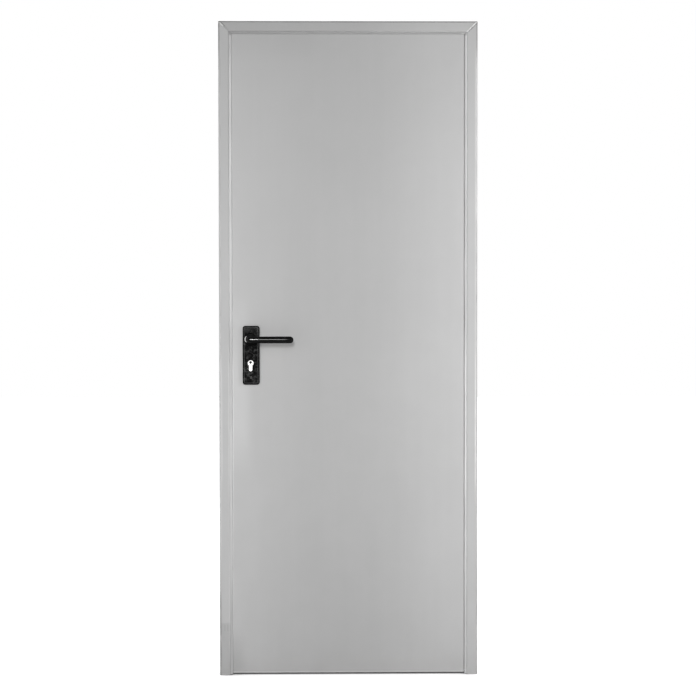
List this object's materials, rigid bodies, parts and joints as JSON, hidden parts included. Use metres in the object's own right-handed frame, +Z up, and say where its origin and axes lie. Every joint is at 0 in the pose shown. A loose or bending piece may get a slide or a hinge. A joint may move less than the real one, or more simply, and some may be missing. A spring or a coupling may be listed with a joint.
{
  "type": "steel utility door",
  "caption": "Single-leaf steel utility door in a mitred folded-sheet frame, with black lever handles and a key cylinder; the leaf opens away from the side shown.",
  "frame": {"origin": "on the floor, on the wall face of the hinge jamb, at the middle of the jamb's push-side lip", "axes": "+Z up, +X to the hinge side, out of the hinge jamb's wall face, +Y from the push side to the pull side"},
  "size_m": [0.79, 0.1696, 2],
  "materials": {
    "frame_steel": "pale grey satin primer on zinc-coated sheet",
    "leaf_steel": "pale grey satin primer on zinc-coated sheet, faintly mottled",
    "hinge_steel": "zinc-plated steel",
    "washer_brass": "plain turned",
    "lock_steel": "zinc-plated steel",
    "black_nylon": "semi-gloss black nylon",
    "nickel": "matt nickel plate"
  },
  "bodies": {
    "frame": {"hinge_jamb": "frame_steel", "lock_jamb": "frame_steel", "frame_head": "frame_steel", "hinge_corner_cleat": "frame_steel", "lock_corner_cleat": "frame_steel", "strike_box": "frame_steel", "lower_hinge_frame_half": "hinge_steel", "lower_hinge_pin": "hinge_steel", "lower_hinge_washer": "washer_brass", "upper_hinge_frame_half": "hinge_steel", "upper_hinge_pin": "hinge_steel", "upper_hinge_washer": "washer_brass"},
    "leaf": {"leaf_push_tray": "leaf_steel", "leaf_pull_skin": "leaf_steel", "leaf_bottom_channel": "leaf_steel", "lock_case": "lock_steel", "lock_faceplate": "lock_steel", "latch_bolt": "lock_steel", "dead_bolt": "lock_steel", "lock_cylinder": "nickel", "pull_plug": "nickel", "push_backplate": "black_nylon", "pull_backplate": "black_nylon", "lower_hinge_leaf_half": "hinge_steel", "upper_hinge_leaf_half": "hinge_steel"},
    "lever_set": {"push_lever": "black_nylon", "pull_lever": "black_nylon", "spindle": "lock_steel"},
    "key_plug": {"push_plug": "nickel"}
  },
  "joints": [
    {"name": "leaf_swing", "type": "hinge", "parent": "frame", "child": "leaf", "pos_m": [-0.014, 0.0546, 1], "axis": [0, 0, -1], "range_deg": [0, 170]},
    {"name": "lever_turn", "type": "hinge", "parent": "leaf", "child": "lever_set", "pos_m": [-0.694, 0.0263, 1.031], "axis": [0, 1, 0], "range_deg": [0, 40], "stiffness_Nm_per_rad": 2, "springref_deg": -28.65},
    {"name": "key_turn", "type": "hinge", "parent": "leaf", "child": "key_plug", "pos_m": [-0.694, 0, 0.959], "axis": [0, 1, 0], "continuous": true}
  ]
}
